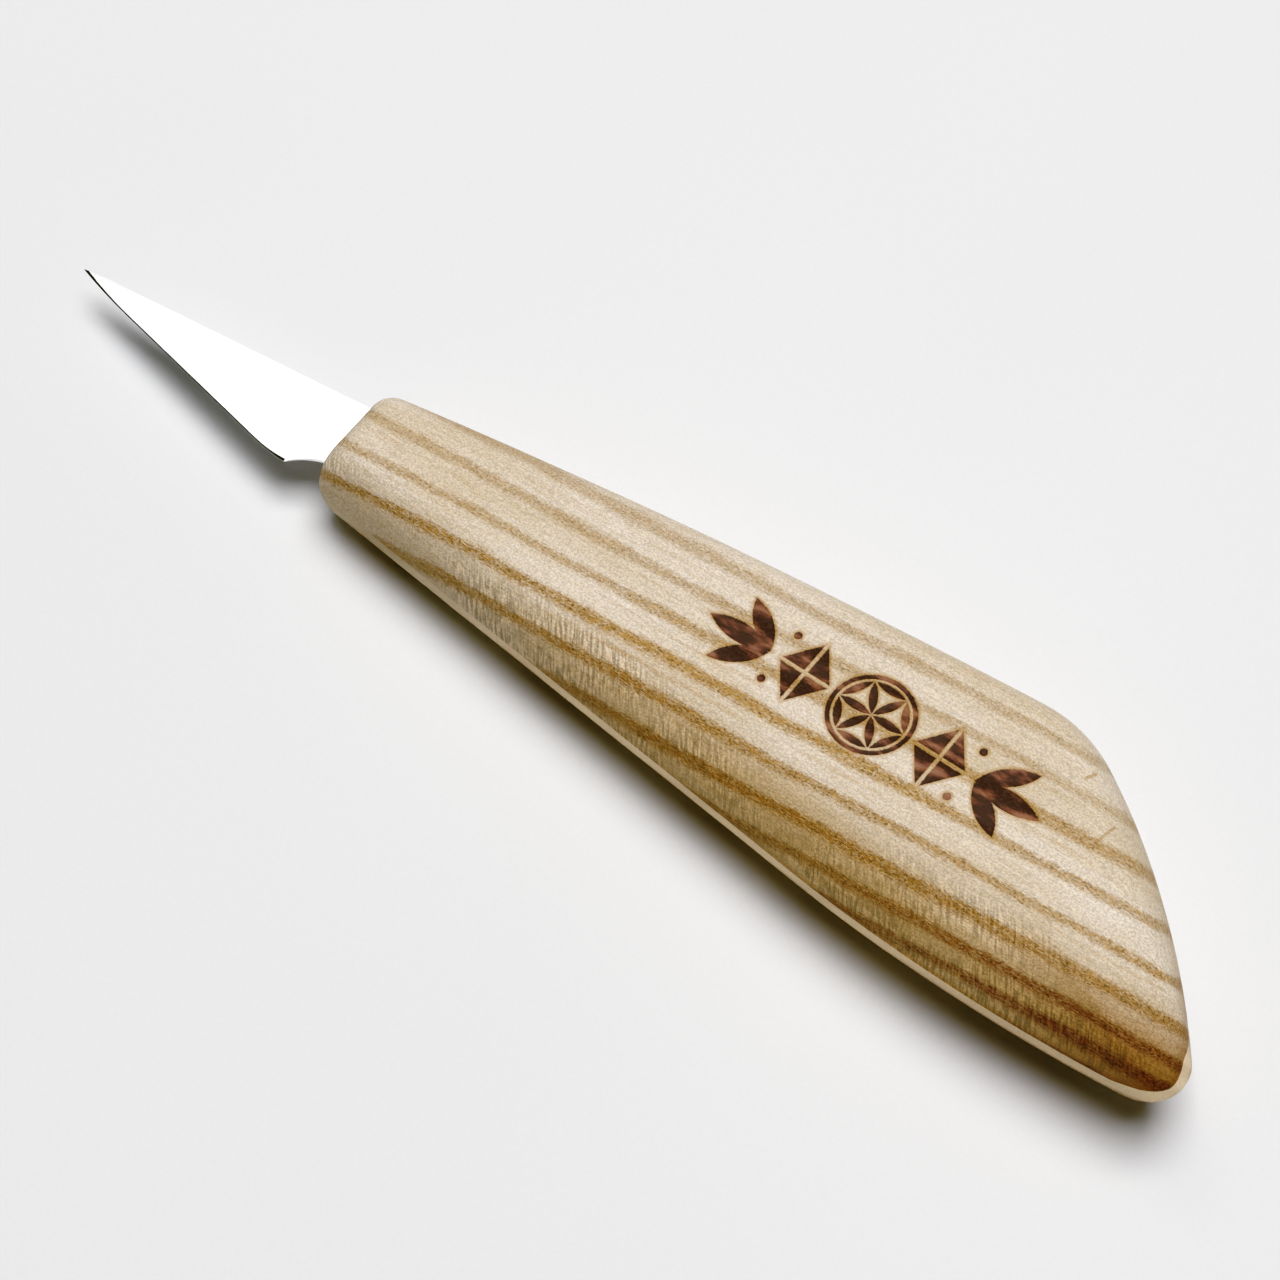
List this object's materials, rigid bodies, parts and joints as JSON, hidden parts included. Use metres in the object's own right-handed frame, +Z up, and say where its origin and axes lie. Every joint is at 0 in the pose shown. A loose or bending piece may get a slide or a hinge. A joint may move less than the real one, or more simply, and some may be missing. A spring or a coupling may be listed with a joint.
{
  "type": "chip carving knife",
  "caption": "Fixed-blade chip carving knife: short straight wedge blade with a choil, glued by its hidden tang into a palm-filling ash handle with a slanted butt.",
  "frame": {"origin": "bottom centre of the whole knife, on the surface that the handle's flat underside lies on", "axes": "+X along the knife towards the tip, +Y towards the side of the cutting edge, +Z up off the surface"},
  "size_m": [0.1602, 0.0324, 0.0194],
  "materials": {
    "blade_steel": "flat ground and polished lengthwise",
    "ash_wood": "sanded and lightly oiled ash",
    "epoxy": "cured amber adhesive"
  },
  "bodies": {
    "root": {"blade": "blade_steel", "handle": "ash_wood", "epoxy_bond": "epoxy"}
  },
  "joints": []
}
